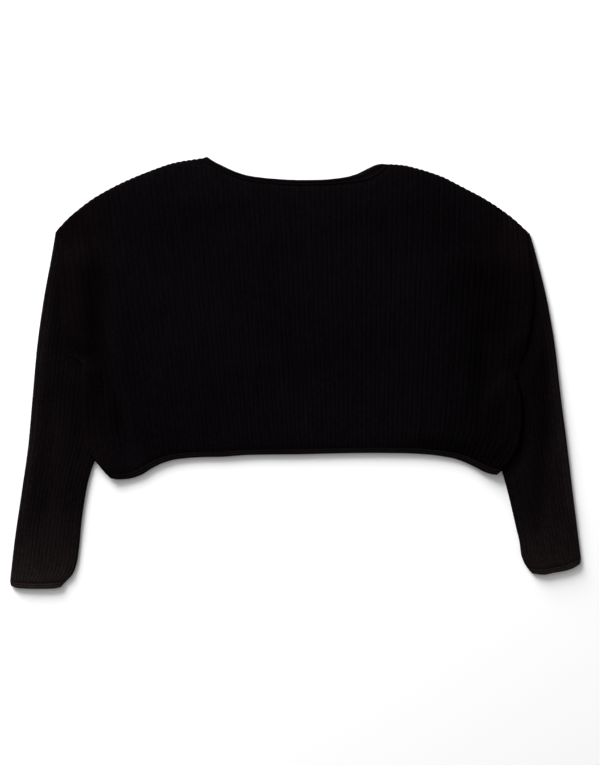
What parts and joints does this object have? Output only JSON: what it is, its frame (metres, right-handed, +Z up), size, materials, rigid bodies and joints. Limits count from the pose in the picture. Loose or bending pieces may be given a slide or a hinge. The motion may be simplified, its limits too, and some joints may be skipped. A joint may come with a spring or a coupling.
{
  "type": "cropped sweater",
  "caption": "Cropped drop-shoulder sweater in black rib knit, laid flat with its long sleeves down and partly under the body.",
  "frame": {"origin": "under the centre of the laid out sweater's outline, on the surface that it lies on", "axes": "+Z up from the surface, +Y towards the neck, +X towards the sleeve at the picture's right"},
  "size_m": [0.732, 0.5541, 0.0153],
  "materials": {
    "body_knit": "matte black rib knit",
    "sleeve_knit": "matte black rib knit, slightly warmer than the body",
    "band_knit": "matte black plain knit, rolled edge"
  },
  "bodies": {
    "root": {"front": "body_knit", "back": "body_knit", "sleeve_left": "sleeve_knit", "sleeve_right": "sleeve_knit", "neckband": "band_knit", "hem_band": "band_knit", "cuff_left": "band_knit", "cuff_right": "band_knit"}
  },
  "joints": []
}
